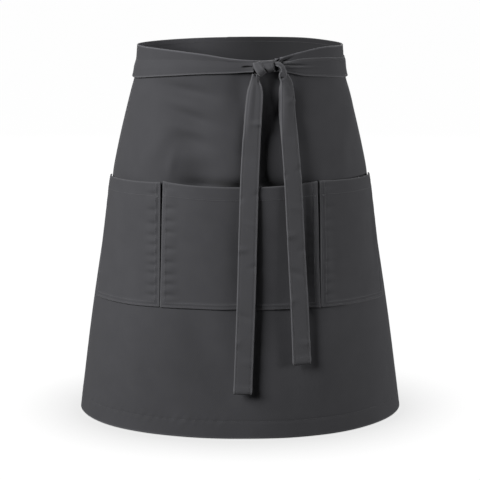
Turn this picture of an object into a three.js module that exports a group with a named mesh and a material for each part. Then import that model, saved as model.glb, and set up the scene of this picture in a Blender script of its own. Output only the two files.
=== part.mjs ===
// Bistro apron as it hangs on a waist: a wrapped panel, three patch pockets and a tie knotted in front.
// Millimetres, +Z up. The origin is the middle of the waist opening, level with the rim at the sides.
// The front faces -Y. Left and right are as seen from the front, so right is +X.
// A place on the cloth is given by its distance along the cloth from the front centre, its drop below
// the origin, and how far it stands out from the panel's outer face.

import * as THREE from "three";

// Thickness of the cloth, and how far a sewn pocket and the tie lie off the panel
const PANEL_WALL = 1.2;
const POCKET_WALL = 1.2;
const TIE_WALL = 2;
const POCKET_CLEARANCE = 0.5;
const TIE_CLEARANCE = 0.7;

// Every level section of the skirt is an ellipse, this deep for its width
const DEPTH_SHARE = 0.76;

// Half the width of the skirt at each drop: held in at the tie, then flaring over the hip to the hem
const SKIRT_SECTIONS = [
  { drop: 0, halfWidth: 164.5 },
  { drop: 20, halfWidth: 166 },
  { drop: 52, halfWidth: 169.5 },
  { drop: 70, halfWidth: 174.5 },
  { drop: 110, halfWidth: 185 },
  { drop: 190, halfWidth: 203 },
  { drop: 300, halfWidth: 221 },
  { drop: 430, halfWidth: 241.3 },
  { drop: 593, halfWidth: 263.2 },
];
const HEM_DROP = SKIRT_SECTIONS.at(-1).drop;

// Distance along the cloth to the panel's side edges, which overlap behind at the rim and part below it
const EDGE_AT_RIM = 478;
const EDGE_AT_HEM = 585;
// The overlapping edges step apart by this much each, the right one outwards, between these two distances
const LAP_STEP = 0.9;
const LAP_BEGINS = 300;
const LAP_FULL = 420;

// The panel's rim and the tie's two edges round the waist: the tie pulls the rim down to the knot
const WAIST_LINES = [
  { along: -463, rim: 0, tieTop: 16, tieBottom: 47 },
  { along: -280, rim: 0, tieTop: 16.5, tieBottom: 48 },
  { along: -205, rim: -2.5, tieTop: 16, tieBottom: 47 },
  { along: -132, rim: -3, tieTop: 10, tieBottom: 38.4 },
  { along: -62, rim: 1.3, tieTop: 7.5, tieBottom: 31.3 },
  { along: 0, rim: 9.2, tieTop: 10.6, tieBottom: 27.9 },
  { along: 20, rim: 10.4, tieTop: 11.2, tieBottom: 26.2 },
  { along: 50, rim: 10.5, tieTop: 11.5, tieBottom: 26.2 },
  { along: 72, rim: 5, tieTop: 13.1, tieBottom: 28.7 },
  { along: 96, rim: 0.2, tieTop: 9.9, tieBottom: 34.4 },
  { along: 132, rim: -4.6, tieTop: 10.2, tieBottom: 38.4 },
  { along: 205, rim: -2.5, tieTop: 16, tieBottom: 46 },
  { along: 280, rim: 0, tieTop: 16.5, tieBottom: 48 },
  { along: 463, rim: 0, tieTop: 16, tieBottom: 47 },
];

// Patch pockets: where each begins and ends along the cloth, its top and bottom edges at the front centre's
// level, how far its top edge sags in the middle, and how far it gapes there
const POCKETS = [
  { name: "pocket_left", from: -278, to: -128.8, top: 199, bottom: 390.5, sag: 0.5, gape: 4.5, steps: 8 },
  { name: "pocket_middle", from: -125.4, to: 125.4, top: 197, bottom: 391, sag: 5, gape: 8, steps: 14 },
  { name: "pocket_right", from: 128.8, to: 278, top: 196.5, bottom: 390.5, sag: 0.5, gape: 4.5, steps: 8 },
];
// A seam that is straight on the flat cloth hangs lower at the sides, by this times the distance squared
const SEAM_DROOP = 1e-4;
// Upright seams fan out with the flaring cloth: by this share of their distance for each millimetre below
// the pockets' middle
const SEAM_FAN = 1e-4;
const POCKET_MIDDLE = 295;
// Powers that shape a gaping pocket: nearly full across its top, easing off towards its bottom
const GAPE_ACROSS = 4;
const GAPE_DOWN = 1.5;

// The knot as a barrel between the tie's two ends, standing off the panel
const KNOT_LEFT = 20;
const KNOT_RIGHT = 50;
const KNOT_CLEARANCE = 0.4;
const KNOT_BACK = 0.8;
const KNOT_SECTIONS = [
  { along: KNOT_LEFT + KNOT_CLEARANCE, top: 12, bottom: 26, depth: 7 },
  { along: 24, top: 10.5, bottom: 30, depth: 11 },
  { along: 31, top: 10, bottom: 32, depth: 14 },
  { along: 39, top: 10, bottom: 32, depth: 14 },
  { along: 46, top: 10.5, bottom: 29, depth: 11 },
  { along: KNOT_RIGHT - KNOT_CLEARANCE, top: 12, bottom: 25, depth: 7 },
];

// The two tails of the tie, from the knot to their free ends
const TAILS = [
  {
    name: "tie_tail_left",
    route: [
      { along: 25, drop: 31.6, width: 12, off: 6.5 },
      { along: 23.3, drop: 44, width: 18, off: 14 },
      { along: 21.9, drop: 57, width: 23.5, off: 17.5 },
      { along: 18.6, drop: 100, width: 26, off: 16 },
      { along: 16.1, drop: 148, width: 27.2, off: 11.5 },
      { along: 14, drop: 190, width: 27.5, off: 12.8 },
      { along: 11.5, drop: 280, width: 27.8, off: 12.5 },
      { along: 9.1, drop: 375, width: 27.8, off: 11.5 },
      { along: 4, drop: 519, width: 27.8, off: 10 },
    ],
  },
  {
    name: "tie_tail_right",
    route: [
      { along: 50.7, drop: 16, width: 9, off: 4.5 },
      { along: 57, drop: 17, width: 9.5, off: 9 },
      { along: 62, drop: 24, width: 11, off: 11.5 },
      { along: 64.5, drop: 38, width: 15.5, off: 14 },
      { along: 69.8, drop: 58, width: 20.5, off: 17 },
      { along: 72.6, drop: 101, width: 25.5, off: 15.5 },
      { along: 76.1, drop: 148, width: 27, off: 11.5 },
      { along: 79.4, drop: 193, width: 27.5, off: 12.8 },
      { along: 84.6, drop: 285, width: 27.8, off: 12.5 },
      { along: 89.8, drop: 378, width: 27.8, off: 11.5 },
      { along: 94, drop: 478, width: 27.8, off: 10 },
    ],
  },
];

// How finely each piece is divided
const PANEL_DROPS = [26, 38, 52, 60, 70, 88, 110, 150, 190, 245, 300, 365, 430, 510, HEM_DROP];
const SIDE_STEPS = 12;
const POCKET_ROWS = 7;
const TIE_ROWS = 2;
const KNOT_SIDES = 14;
const TAIL_STEPS = 30;
const TAIL_COLUMNS = 2;
const SECTION_DIVISIONS = 720;

// Charcoal cotton twill
const PANEL_COLOUR = "#48484c";
const POCKET_COLOUR = "#49494d";
const TIE_COLOUR = "#505054";
const CLOTH_ROUGHNESS = 0.92;

const { lerp, clamp, smoothstep, euclideanModulo } = THREE.MathUtils;

// Evenly spaced numbers from one value to another, both included
function spread(from, to, steps) {
  return Array.from({ length: steps + 1 }, (unused, i) => lerp(from, to, i / steps));
}

// A column of a table at any place along its key, on a smooth cubic through the rows
function readTable(rows, key, column, place) {
  const at = clamp(place, rows[0][key], rows.at(-1)[key]);
  const last = rows.length - 2;
  const found = rows.findIndex((row, i) => i <= last && at <= rows[i + 1][key]);
  const span = (i) => rows[i + 1][key] - rows[i][key];
  const chord = (i) => (rows[i + 1][column] - rows[i][column]) / span(i);
  const slope = (i) => {
    if (i === 0) return chord(0);
    if (i > last) return chord(last);
    return (chord(i - 1) * span(i) + chord(i) * span(i - 1)) / (span(i) + span(i - 1));
  };
  const t = (at - rows[found][key]) / span(found);
  const rise = slope(found) * span(found);
  const fall = slope(found + 1) * span(found);
  const startShare = (1 + 2 * t) * (1 - t) ** 2;
  const endShare = t * t * (3 - 2 * t);
  return (
    startShare * rows[found][column] +
    endShare * rows[found + 1][column] +
    t * (1 - t) ** 2 * rise +
    t * t * (t - 1) * fall
  );
}

// The skirt's level section at a drop, starting at the front centre and turning towards the right
function sectionAt(drop) {
  const halfWidth = readTable(SKIRT_SECTIONS, "drop", "halfWidth", drop);
  const halfDepth = halfWidth * DEPTH_SHARE;
  const section = new THREE.EllipseCurve(0, 0, halfWidth, halfDepth, -Math.PI / 2, 1.5 * Math.PI);
  section.arcLengthDivisions = SECTION_DIVISIONS;
  return section;
}

function halfGirth(drop) {
  return sectionAt(drop).getLength() / 2;
}

// A point of the cloth
function skinPoint(along, drop, out) {
  const section = sectionAt(drop);
  const share = euclideanModulo(along / section.getLength(), 1);
  const point = section.getPointAt(share);
  const normal = new THREE.Vector2(point.x / section.xRadius ** 2, point.y / section.yRadius ** 2);
  point.addScaledVector(normal.normalize(), out);
  return new THREE.Vector3(point.x, point.y, -drop);
}

// A closed solid from triangles of numbered points
function solid(points, triangles) {
  const geometry = new THREE.BufferGeometry().setFromPoints(points);
  geometry.setIndex(triangles);
  geometry.computeVertexNormals();
  return geometry;
}

// A closed sheet with an inner and an outer face: rows run down it and columns to the right
function sheet(rows, columns, pointAt) {
  const points = [];
  const triangles = [];
  const number = (face, row, column) => (face * (rows + 1) + row) * (columns + 1) + column;
  const quad = (a, b, c, d) => triangles.push(a, b, c, a, c, d);
  for (const face of [0, 1]) {
    for (let row = 0; row <= rows; row++) {
      for (let column = 0; column <= columns; column++) points.push(pointAt(row, column, face));
    }
  }
  for (let row = 0; row < rows; row++) {
    for (let column = 0; column < columns; column++) {
      const corner = (face, down, right) => number(face, row + down, column + right);
      quad(corner(1, 0, 0), corner(1, 1, 0), corner(1, 1, 1), corner(1, 0, 1));
      quad(corner(0, 0, 0), corner(0, 0, 1), corner(0, 1, 1), corner(0, 1, 0));
    }
    const edge = (face, column, down) => number(face, row + down, column);
    quad(edge(0, 0, 0), edge(0, 0, 1), edge(1, 0, 1), edge(1, 0, 0));
    quad(edge(1, columns, 0), edge(1, columns, 1), edge(0, columns, 1), edge(0, columns, 0));
  }
  for (let column = 0; column < columns; column++) {
    const edge = (face, row, right) => number(face, row, column + right);
    quad(edge(0, 0, 0), edge(1, 0, 0), edge(1, 0, 1), edge(0, 0, 1));
    quad(edge(1, rows, 0), edge(0, rows, 0), edge(0, rows, 1), edge(1, rows, 1));
  }
  return solid(points, triangles);
}

// A closed barrel through rings of points, with a flat end at each side
function barrel(rings) {
  const sides = rings[0].length;
  const points = rings.flat();
  const triangles = [];
  for (let ring = 0; ring + 1 < rings.length; ring++) {
    for (let side = 0; side < sides; side++) {
      const here = ring * sides + side;
      const next = ring * sides + ((side + 1) % sides);
      triangles.push(here, next, next + sides, here, next + sides, here + sides);
    }
  }
  const lastRing = (rings.length - 1) * sides;
  for (let side = 1; side + 1 < sides; side++) {
    triangles.push(0, side + 1, side);
    triangles.push(lastRing, lastRing + side, lastRing + side + 1);
  }
  return solid(points, triangles);
}

// Upright grid lines: fixed on the front, where the pockets are sewn, then evenly out to a side edge
const FRONT_STATIONS = POCKETS.flatMap((pocket) => spread(pocket.from, pocket.to, pocket.steps));
const FRONT_REACH = FRONT_STATIONS.at(-1);

function stationsOutTo(edge) {
  const right = spread(FRONT_REACH, edge, SIDE_STEPS).slice(1);
  const left = right.map((along) => -along).reverse();
  return [...left, ...FRONT_STATIONS, ...right];
}

// How far cloth behind the hips stands out because the panel's two edges lie on each other there
function lapOf(along) {
  return LAP_STEP * smoothstep(Math.abs(along), LAP_BEGINS, LAP_FULL);
}

function skirtPanel() {
  const stationRows = [0, ...PANEL_DROPS].map((drop) =>
    stationsOutTo(lerp(EDGE_AT_RIM, EDGE_AT_HEM, drop / HEM_DROP)),
  );
  return sheet(PANEL_DROPS.length, stationRows[0].length - 1, (row, column, face) => {
    const along = stationRows[row][column];
    const drop = row === 0 ? readTable(WAIST_LINES, "along", "rim", along) : PANEL_DROPS[row - 1];
    return skinPoint(along, drop, Math.sign(along) * lapOf(along) - (1 - face) * PANEL_WALL);
  });
}

function patchPocket({ from, to, top, bottom, sag, gape, steps }) {
  const stations = spread(from, to, steps);
  return sheet(POCKET_ROWS, steps, (row, column, face) => {
    const along = stations[column];
    const across = (2 * along - from - to) / (to - from);
    const down = row / POCKET_ROWS;
    const droop = SEAM_DROOP * along ** 2;
    const topEdge = top + droop + sag * (1 - across ** 2);
    const drop = lerp(topEdge, bottom + droop, down);
    const gapeHere = gape * (1 - across ** GAPE_ACROSS) * (1 - down) ** GAPE_DOWN;
    const fanned = along * (1 + SEAM_FAN * (drop - POCKET_MIDDLE));
    return skinPoint(fanned, drop, POCKET_CLEARANCE + gapeHere + face * POCKET_WALL);
  });
}

function waistTie() {
  const back = WAIST_LINES[0];
  const stationRows = spread(back.tieTop, back.tieBottom, TIE_ROWS).map((drop) => {
    const stations = stationsOutTo(halfGirth(drop));
    const right = stations.filter((along) => along > KNOT_RIGHT);
    const left = stations.slice(1).filter((along) => along < KNOT_LEFT);
    return [KNOT_RIGHT, ...right, ...left, KNOT_LEFT];
  });
  return sheet(TIE_ROWS, stationRows[0].length - 1, (row, column, face) => {
    const along = stationRows[row][column];
    const top = readTable(WAIST_LINES, "along", "tieTop", along);
    const bottom = readTable(WAIST_LINES, "along", "tieBottom", along);
    const drop = lerp(top, bottom, row / TIE_ROWS);
    return skinPoint(along, drop, TIE_CLEARANCE + lapOf(along) + face * TIE_WALL);
  });
}

function tieKnot() {
  const turns = spread(0, 2 * Math.PI, KNOT_SIDES).slice(1);
  const rings = KNOT_SECTIONS.map(({ along, top, bottom, depth }) =>
    turns.map((turn) => {
      const drop = lerp(top, bottom, (1 - Math.cos(turn)) / 2);
      return skinPoint(along, drop, KNOT_BACK + (depth * (1 + Math.sin(turn))) / 2);
    }),
  );
  return barrel(rings);
}

// A tail is a flat strip along its route, square across it
function tieTail({ route }) {
  const stops = route.map(({ along, drop, off }) => new THREE.Vector3(along, drop, off));
  const line = new THREE.CatmullRomCurve3(stops);
  const widths = route.map(({ width }, i) => ({ share: i / (route.length - 1), width }));
  return sheet(TAIL_STEPS, TAIL_COLUMNS, (row, column, face) => {
    const share = row / TAIL_STEPS;
    const middle = line.getPoint(share);
    const heading = line.getTangent(share);
    const across = new THREE.Vector2(heading.y, -heading.x).normalize();
    const reach = (column / TAIL_COLUMNS - 0.5) * readTable(widths, "share", "width", share);
    return skinPoint(middle.x + reach * across.x, middle.y + reach * across.y, middle.z + face * TIE_WALL);
  });
}

const apron = new THREE.Group();

function addPiece(name, geometry, color) {
  const material = new THREE.MeshStandardMaterial({ color, roughness: CLOTH_ROUGHNESS, metalness: 0 });
  const piece = new THREE.Mesh(geometry, material);
  piece.name = name;
  apron.add(piece);
}

addPiece("skirt_panel", skirtPanel(), PANEL_COLOUR);
for (const pocket of POCKETS) addPiece(pocket.name, patchPocket(pocket), POCKET_COLOUR);
addPiece("waist_tie", waistTie(), TIE_COLOUR);
addPiece("tie_knot", tieKnot(), TIE_COLOUR);
for (const tail of TAILS) addPiece(tail.name, tieTail(tail), TIE_COLOUR);

export default apron;
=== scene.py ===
# A bistro apron as it hangs on a waist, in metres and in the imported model's frame: +Z up, front to -Y.
# Left and right are as seen from the front. Cloth sizes are in millimetres until a point is placed.
import math

import bpy
import numpy as np
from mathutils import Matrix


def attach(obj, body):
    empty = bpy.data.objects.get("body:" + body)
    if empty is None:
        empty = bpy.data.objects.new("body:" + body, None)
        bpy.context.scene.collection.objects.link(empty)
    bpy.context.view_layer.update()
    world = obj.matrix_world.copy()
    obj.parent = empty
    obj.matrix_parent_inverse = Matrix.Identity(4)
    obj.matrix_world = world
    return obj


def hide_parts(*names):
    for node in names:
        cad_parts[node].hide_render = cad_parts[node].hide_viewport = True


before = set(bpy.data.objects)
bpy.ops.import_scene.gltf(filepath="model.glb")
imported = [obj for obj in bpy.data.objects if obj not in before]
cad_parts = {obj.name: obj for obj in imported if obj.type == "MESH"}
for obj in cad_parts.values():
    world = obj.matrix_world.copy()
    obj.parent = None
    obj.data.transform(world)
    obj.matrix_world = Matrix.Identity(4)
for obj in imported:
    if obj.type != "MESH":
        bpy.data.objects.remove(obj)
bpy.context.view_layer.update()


# Camera
# A long lens far in front of the apron, a little above its rim and tilted down, so that the hem shows
# as a shallow curve and the inside of the back shows above the front of the rim.
CAMERA_PLACE = (0, -3.2809, 0.3563)
CAMERA_TILT = 11.61
CAMERA_LENS = 154.16
CAMERA_SENSOR = 36

camera_data = bpy.data.cameras.new("camera")
camera_data.sensor_width = CAMERA_SENSOR
camera_data.lens = CAMERA_LENS
camera = bpy.data.objects.new("camera", camera_data)
camera.location = CAMERA_PLACE
camera.rotation_euler = (math.radians(90 - CAMERA_TILT), 0, 0)
bpy.context.collection.objects.link(camera)
bpy.context.scene.camera = camera


# Skirt panel
# One wide piece of charcoal cotton twill, wrapped round the waist so that its side edges overlap behind.
# Its four edges are turned in and held by a row of stitches, and the tie holds it to the waist.
MM = 0.001
PANEL_WALL = 1.2
# Level sections of the skirt are ellipses: their depth as a share of their width, and half their width
# by the drop below the waist
DEPTH_SHARE = 0.76
SKIRT_SECTIONS = {
    "drop": (0, 20, 52, 70, 110, 190, 300, 430, 593),
    "half_width": (164.5, 166, 169.5, 174.5, 185, 203, 221, 241.3, 263.2),
}
HEM_DROP = SKIRT_SECTIONS["drop"][-1]
# Where the side edges end, along the cloth from the front centre
EDGE_AT_RIM, EDGE_AT_HEM = 478, 585
# Behind the hips one side edge steps in and the other steps out, so that they can lie on each other
LAP_STEP, LAP_BEGINS, LAP_FULL = 0.9, 300, 420
# Drops of the rim and of the tie's two edges, along the cloth from the front centre
WAIST_LINES = {
    "along": (-463, -280, -205, -132, -62, 0, 20, 50, 72, 96, 132, 205, 280, 350, 400, 463),
    "rim": (0, 0, -2.5, -3, 1.3, 9.2, 10.4, 10.5, 5, 0.2, -4.6, -2.5, -1, -1.7, -0.8, 0),
    "tie_top": (16, 16.5, 16, 10, 7.5, 10.6, 11.2, 11.5, 13.1, 9.9, 10.2, 16, 16.5, 16.5, 16.3, 16),
    "tie_bottom": (47, 48, 47, 38.4, 31.3, 27.9, 26.2, 26.2, 28.7, 34.4, 38.4, 46, 48, 48, 47.6, 47),
}
# Width of each turned-in edge, and how much thicker the cloth is there on the inside
RIM_TURN, HEM_TURN, SIDE_TURN = 7, 26, 12
TURN_THICKNESS = 1.1
TURN_STEP = 2
# The narrow turn at the rim is pressed flatter than the others
RIM_TURN_SHARE = 0.3
# Where the side edges overlap behind the waist, the inner one is pressed thin and lies tight on the other
PRESS_DROP, PRESS_WIDTH, PRESS_SHARE = 60, 80, 0.9
LAP_TIGHT = 0.85
# The row of stitches pulls the hem in and ripples it, most on the left
HEM_DENT, HEM_DENT_WIDTH = 0.35, 1.8
HEM_RIPPLE, HEM_RIPPLE_REACH, HEM_RIPPLE_LENGTH = 0.45, 9, 15
HEM_RIPPLE_DRIFT, HEM_RIPPLE_LEAN = 61, 0.6
HEM_RIPPLE_FADES, HEM_RIPPLE_ENDS = -60, 40
# Soft folds: ridges, or grooves where the height is negative; a positive slant runs down to the right
PANEL_FOLDS = {
    "along": (
        -83, -79, -79, -140, 174, -150, 147, -62, -190, 205,
        60, -20, -175, 110, 4, 152, -215, 107, 262, 138,
    ),
    "drop": (
        61, 100, 136, 150, 160, 440, 450, 455, 120, 110,
        500, 520, 500, 420, 330, 540, 500, 345, 292, 310,
    ),
    "slant": (
        8, 14, 10, -50, 80, 60, -70, 75, 55, -50,
        80, 65, 70, 85, 92, 88, 90, 87, 86, 87,
    ),
    "length": (
        46, 42, 36, 40, 45, 80, 90, 90, 50, 50,
        80, 60, 70, 60, 105, 120, 130, 125, 55, 90,
    ),
    "width": (
        10, 11, 15, 15, 20, 26, 28, 30, 18, 20,
        26, 24, 22, 22, 16, 70, 70, 11, 8, 10,
    ),
    "height": (
        -9, -9, -10, 3, 2.5, 4.5, 4.5, -4.5, 2.4, 2.2,
        4, -4.5, 3.5, 3.5, -7, 4, 4, -7, 2.5, 3.5,
    ),
}
# Hollows behind the pockets' mouths, a bend beside one of them, and hollows by the tails' roots and along
# the left tail
HOLLOWS = {
    "along": (-70, -54, 12, 84, 0, -205, 205, -112, 37, 3, 11, 56),
    "drop": (190, 209, 210.5, 209.5, 214, 214, 212, 172, 66, 66, 140, 66),
    "slant": (85, 3, 0, 0, 0, 0, 0, -74, 88, 86, 92, 88),
    "length": (32, 44, 40, 34, 110, 58, 58, 20, 40, 30, 60, 42),
    "width": (38, 12, 12, 12, 28, 12, 12, 6, 12, 16, 11, 15),
    "height": (-14, -17, -17, -14, -5, -6, -6, 2, -11, -6, -7, -16),
}
# Creases that fan out from the right of the knot over the rim and along the tie, and a pit beside the knot
KNOT_CREASES = {
    "along": (55.5, 60.4, 68.5, 66, 80, 86, 54.5),
    "drop": (9.6, 10.8, 13.3, 7.4, 18.6, 21.8, 22),
    "slant": (-41, -43, -24, -22, 4, 3, 80),
    "length": (4.5, 5, 12, 13, 23, 28, 7),
    "width": (1.2, 1.3, 1.9, 2, 1.6, 2.2, 3),
    "height": (-4, -4, -6, 1.8, -4.5, 1.4, -6),
}
# Long flutes of the loose cloth behind the hips, deepest at the hem
FLUTE_DEPTH, FLUTE_LENGTH, FLUTE_BEGINS, FLUTE_FULL, FLUTE_DROP = 5, 118, 400, 480, 150


def read_table(table, key, column, place):
    """A column of a table at any place along its key, on a smooth cubic through the rows."""
    keys, values = np.array(table[key], float), np.array(table[column], float)
    span = np.diff(keys)
    chord = np.diff(values) / span
    middle = (chord[:-1] * span[1:] + chord[1:] * span[:-1]) / (span[1:] + span[:-1])
    slope = np.concatenate([chord[:1], middle, chord[-1:]])
    place = np.clip(place, keys[0], keys[-1])
    row = np.clip(np.searchsorted(keys, place) - 1, 0, len(span) - 1)
    share = (place - keys[row]) / span[row]
    rest = 1 - share
    return (
        (1 + 2 * share) * rest**2 * values[row]
        + (3 - 2 * share) * share**2 * values[row + 1]
        + share * rest**2 * span[row] * slope[row]
        - share**2 * rest * span[row] * slope[row + 1]
    )


def ease(value, begin, end):
    """0 before begin, 1 after end, and a smooth step between them."""
    share = np.clip((value - begin) / (end - begin), 0, 1)
    return share * share * (3 - 2 * share)


def lerp(begin, end, share):
    return begin + (end - begin) * share


# Length along an ellipse that is one unit wide each side, from its front towards the right
ARC_POINTS = 2881
ARC_TURNS = np.linspace(0, 2 * math.pi, ARC_POINTS)
arc_points = np.stack([np.sin(ARC_TURNS), -DEPTH_SHARE * np.cos(ARC_TURNS)], axis=1)
arc_steps = np.linalg.norm(np.diff(arc_points, axis=0), axis=1)
ARC_LENGTHS = np.concatenate([[0], np.cumsum(arc_steps)])


def half_girth(drop):
    return read_table(SKIRT_SECTIONS, "drop", "half_width", drop) * ARC_LENGTHS[-1] / 2


def skin(along, drop, out):
    """A point of the cloth by its distance from the front centre, its drop, and how far it stands out."""
    along, drop, out = np.broadcast_arrays(along, drop, out)
    half_width = read_table(SKIRT_SECTIONS, "drop", "half_width", drop)
    turn = np.interp(np.mod(along / half_width, ARC_LENGTHS[-1]), ARC_LENGTHS, ARC_TURNS)
    normal_x, normal_y = np.sin(turn), -np.cos(turn) / DEPTH_SHARE
    stretch = out / np.hypot(normal_x, normal_y)
    x = half_width * np.sin(turn) + stretch * normal_x
    y = -half_width * DEPTH_SHARE * np.cos(turn) + stretch * normal_y
    return np.stack([x, y, -drop], axis=-1) * MM


def folds(table, along, drop):
    """How far a table of soft folds moves the cloth out."""
    moved = np.zeros(np.broadcast(along, drop).shape)
    for fold_along, fold_drop, slant, length, width, height in zip(*table.values()):
        turn = math.radians(slant)
        lengthwise = (along - fold_along) * math.cos(turn) + (drop - fold_drop) * math.sin(turn)
        crosswise = (drop - fold_drop) * math.cos(turn) - (along - fold_along) * math.sin(turn)
        moved = moved + height * np.exp(-((lengthwise / length) ** 2) - (crosswise / width) ** 2)
    return moved


def lap(along):
    """How far the cloth behind the hips stands out because the two side edges lie on each other there."""
    return LAP_STEP * ease(np.abs(along), LAP_BEGINS, LAP_FULL)


def panel_lie(along, drop):
    """How far the panel's cloth lies outside its plain form: folds, hem ripples and flutes behind."""
    stitch_off = drop - (HEM_DROP - HEM_TURN)
    leaned = along + HEM_RIPPLE_LEAN * stitch_off
    drift = np.sin(2 * math.pi * along / HEM_RIPPLE_DRIFT)
    ripple = np.sin(2 * math.pi * leaned / HEM_RIPPLE_LENGTH + drift)
    rippled = HEM_RIPPLE * (1 - ease(along, HEM_RIPPLE_FADES, HEM_RIPPLE_ENDS))
    hem = rippled * ripple * np.exp(-((stitch_off / HEM_RIPPLE_REACH) ** 2))
    hem = hem - HEM_DENT * np.exp(-((stitch_off / HEM_DENT_WIDTH) ** 2))
    below = np.clip(drop - FLUTE_DROP, 0, None) / HEM_DROP
    behind = ease(np.abs(along), FLUTE_BEGINS, FLUTE_FULL)
    flutes = FLUTE_DEPTH * np.cos(2 * math.pi * along / FLUTE_LENGTH) * behind * below**2
    return folds(PANEL_FOLDS, along, drop) + folds(KNOT_CREASES, along, drop) + hem + flutes


def panel_edge(drop):
    return lerp(EDGE_AT_RIM, EDGE_AT_HEM, np.clip(drop, 0, None) / HEM_DROP)


def overlap(along, drop):
    """1 at the inner side edge behind the waist, and 0 away from it."""
    behind = ease(-along, panel_edge(drop) - PRESS_WIDTH, panel_edge(drop))
    return behind * (1 - ease(drop, PRESS_DROP, 2 * PRESS_DROP))


def panel_face(along, drop, lift):
    """The panel's outer face."""
    lapped = np.sign(along) * lap(along) + LAP_TIGHT * overlap(along, drop)
    hollow = folds(HOLLOWS, along, drop)
    return skin(along, drop, lapped + panel_lie(along, drop) + hollow + lift)


def panel_back(along, drop, lift):
    """The panel's inner face, thicker along its turned-in edges."""
    rim = read_table(WAIST_LINES, "along", "rim", along)
    side = panel_edge(drop) - SIDE_TURN
    lapped = ease(np.abs(along), EDGE_AT_RIM - 2 * PRESS_WIDTH, EDGE_AT_RIM - PRESS_WIDTH)
    at_hem = ease(drop, HEM_DROP - HEM_TURN - TURN_STEP, HEM_DROP - HEM_TURN)
    at_rim = RIM_TURN_SHARE * (1 - ease(drop - rim, RIM_TURN, RIM_TURN + TURN_STEP)) * (1 - lapped)
    at_side = ease(np.abs(along), side - TURN_STEP, side) * ease(drop, PRESS_DROP, 2 * PRESS_DROP)
    thickness = PANEL_WALL + TURN_THICKNESS * np.maximum(np.maximum(at_hem, at_rim), at_side)
    return panel_face(along, drop, -thickness * (1 - PRESS_SHARE * overlap(along, drop)) - lift)


# Cotton twill: threads dyed before weaving, so the cloth is matt, faintly flecked and ribbed on the slant.
# The ribs are about 0.6 mm apart on the real cloth; they are drawn coarser, so that a trace of them shows.
TWILL_RIB = 1.9
TWILL_SLANT = 58
RIB_WOBBLE, RIB_WOBBLE_DETAIL, RIB_WOBBLE_SCALE = 1.2, 2, 1.5
THREAD_ACROSS, THREAD_ALONG, THREAD_DETAIL, THREAD_UNEVENNESS = 1.3, 24, 3, 0.6
MOTTLE_SIZE, MOTTLE_DETAIL = 34, 4
# Share of single threads in the weave, and of mottle in the dye
THREAD_SHARE, MOTTLE_SHARE = 0.45, 0.5
# One turn of the wave texture is this many units long at scale 1
WAVE_TURN = 2 * math.pi / 20
COTTON_IOR = 1.53
COTTON_ROUGHNESS = 0.9
COTTON_SPECULAR = 0.25
# Short loose fibres give a faint sheen at grazing angles
COTTON_SHEEN, COTTON_SHEEN_ROUGHNESS = 0.15, 0.45
TWILL_RELIEF, TWILL_RELIEF_STRENGTH = 0.22, 0.6
# The worn colour is paler: rubbed wear and painted highlight along edges, and painted light on the inside's
# left
PANEL_DARK, PANEL_LIGHT, PANEL_WORN_AND_LIT = "#3b3b3e", "#49494c", "#606064"
# The reverse is darker: partly it shows more of the darker threads, partly it is painted shade inside the
# apron
TWILL_REVERSE_AND_SHADE = "#2c2c2e"


def linear(code):
    """An sRGB hex colour as linear red, green, blue and alpha."""
    parts = [int(code[i : i + 2], 16) / 255 for i in (1, 3, 5)]
    return [p / 12.92 if p <= 0.04045 else ((p + 0.055) / 1.055) ** 2.4 for p in parts] + [1]


def add_node(tree, kind, settings, inputs):
    """Adds a node with its settings; each input is a value, or the output socket that it is linked to."""
    made = tree.nodes.new(kind)
    for name, value in settings.items():
        setattr(made, name, value)
    for socket, value in inputs.items():
        if isinstance(value, bpy.types.NodeSocket):
            tree.links.new(value, made.inputs[socket])
        else:
            made.inputs[socket].default_value = value
    return made


def bare_material(name):
    """A new material and its empty node tree."""
    material = bpy.data.materials.new(name)
    material.use_nodes = True
    material.node_tree.nodes.clear()
    return material, material.node_tree


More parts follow.
